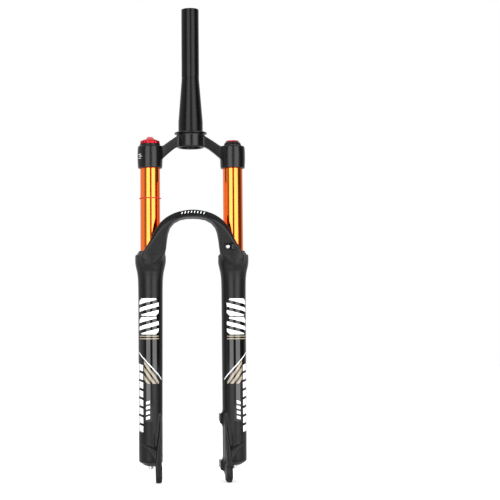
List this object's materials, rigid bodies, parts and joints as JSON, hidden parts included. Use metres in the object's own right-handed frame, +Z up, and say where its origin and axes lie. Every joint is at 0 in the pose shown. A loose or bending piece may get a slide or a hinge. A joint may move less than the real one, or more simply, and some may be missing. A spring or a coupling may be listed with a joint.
{
  "type": "bicycle suspension fork",
  "caption": "Air-sprung front fork for a mountain bike: tapered steerer, forged crown, gold stanchions in black cast lowers with an arch, disc brake posts and a lockout knob.",
  "frame": {"origin": "on the steerer's axis, at the height of the crown race seat", "axes": "+Z up along the steerer, -Y to the front of the bicycle, +X to the air leg, which is the rider's left and carries the brake posts"},
  "size_m": [0.1824, 0.0848, 0.7623],
  "materials": {
    "satin_black_paint": "satin black paint",
    "black_anodised": "black anodised, satin",
    "gold_anodised": "polished gold anodised",
    "red_anodised": "red anodised, satin",
    "bright_steel": "bright zinc plate",
    "plain_aluminium": "machined",
    "brass": "machined",
    "black_rubber": "matt",
    "red_rubber": "matt",
    "foam": "open-cell foam soaked in oil",
    "bushing_polymer": "low-friction polymer on a steel back"
  },
  "bodies": {
    "uppers": {"steerer_tube": "satin_black_paint", "crown": "satin_black_paint", "damper_stanchion": "gold_anodised", "air_stanchion": "gold_anodised", "damper_top_cap": "black_anodised", "compression_valve": "plain_aluminium", "damper_seal_head": "black_anodised", "air_seal_head": "black_anodised", "damper_circlip": "bright_steel", "air_circlip": "bright_steel", "air_top_cap": "black_anodised", "air_valve": "brass", "air_valve_cap": "red_anodised"},
    "lockout": {"lockout_knob": "red_anodised", "lockout_screw": "bright_steel", "lockout_spindle": "bright_steel"},
    "ring": {"sag_ring": "red_rubber"},
    "lowers": {"lowers_casting": "satin_black_paint", "hose_guide": "black_anodised", "damper_piston": "plain_aluminium", "air_piston": "plain_aluminium", "damper_foot_washer": "plain_aluminium", "air_foot_washer": "plain_aluminium", "damper_rod": "bright_steel", "air_rod": "bright_steel", "damper_piston_nut": "bright_steel", "air_piston_nut": "bright_steel", "damper_foot_nut": "bright_steel", "air_foot_nut": "bright_steel", "hose_guide_bolt": "bright_steel", "damper_wiper_seal": "black_rubber", "air_wiper_seal": "black_rubber", "damper_top_out_bumper": "black_rubber", "air_top_out_bumper": "black_rubber", "damper_bottom_out_bumper": "black_rubber", "air_bottom_out_bumper": "black_rubber", "damper_glide_ring": "black_rubber", "air_piston_seal": "black_rubber", "damper_foam_ring": "foam", "air_foam_ring": "foam", "damper_upper_bushing": "bushing_polymer", "air_upper_bushing": "bushing_polymer", "damper_lower_bushing": "bushing_polymer", "air_lower_bushing": "bushing_polymer"}
  },
  "joints": [
    {"name": "travel", "type": "slide", "parent": "uppers", "child": "lowers", "axis": [0, 0, 1], "range_m": [0, 0.12], "stiffness_N_per_m": 5000, "springref_m": -0.02},
    {"name": "lockout_turn", "type": "hinge", "parent": "uppers", "child": "lockout", "pos_m": [-0.0667, -0.017, -0.02], "axis": [0, 0, -1], "range_deg": [0, 90]},
    {"name": "sag_ring_slide", "type": "slide", "parent": "uppers", "child": "ring", "axis": [0, 0, 1], "range_m": [0, 0.037]}
  ],
  "couplings": [
    {"joint": "sag_ring_slide", "follows": "travel", "ratio": 0.3083}
  ]
}
